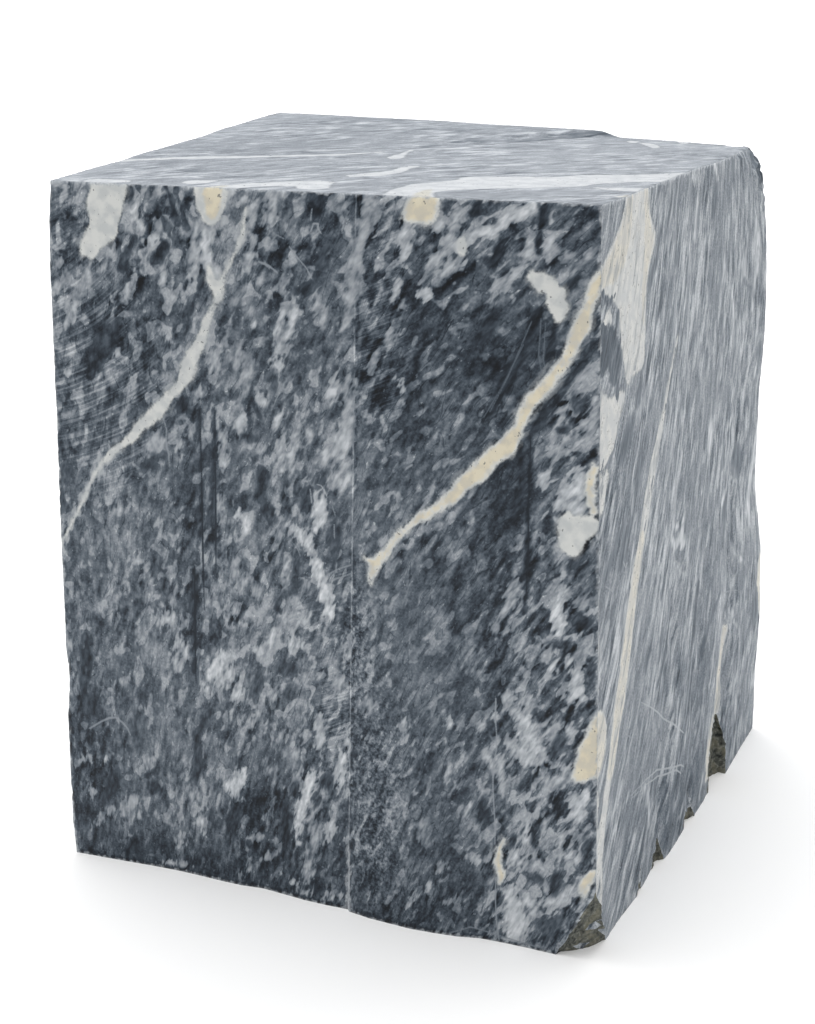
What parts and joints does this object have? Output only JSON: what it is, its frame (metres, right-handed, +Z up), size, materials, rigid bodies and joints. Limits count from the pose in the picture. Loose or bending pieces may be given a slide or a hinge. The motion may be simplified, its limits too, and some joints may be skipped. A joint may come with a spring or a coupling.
{
  "type": "marble block",
  "caption": "Rough-sawn, roughly cubic block of grey veined marble that stands on its flat base, with a step down the front, broken corners and a fluted side.",
  "frame": {"origin": "centre of the base of the block's bounding box", "axes": "+Z up from the flat base, -Y towards the sawn front face with the seam, +X to its right"},
  "size_m": [0.4277, 0.419, 0.498],
  "materials": {
    "marble": "satin"
  },
  "bodies": {
    "root": {"marble_block": "marble"}
  },
  "joints": []
}
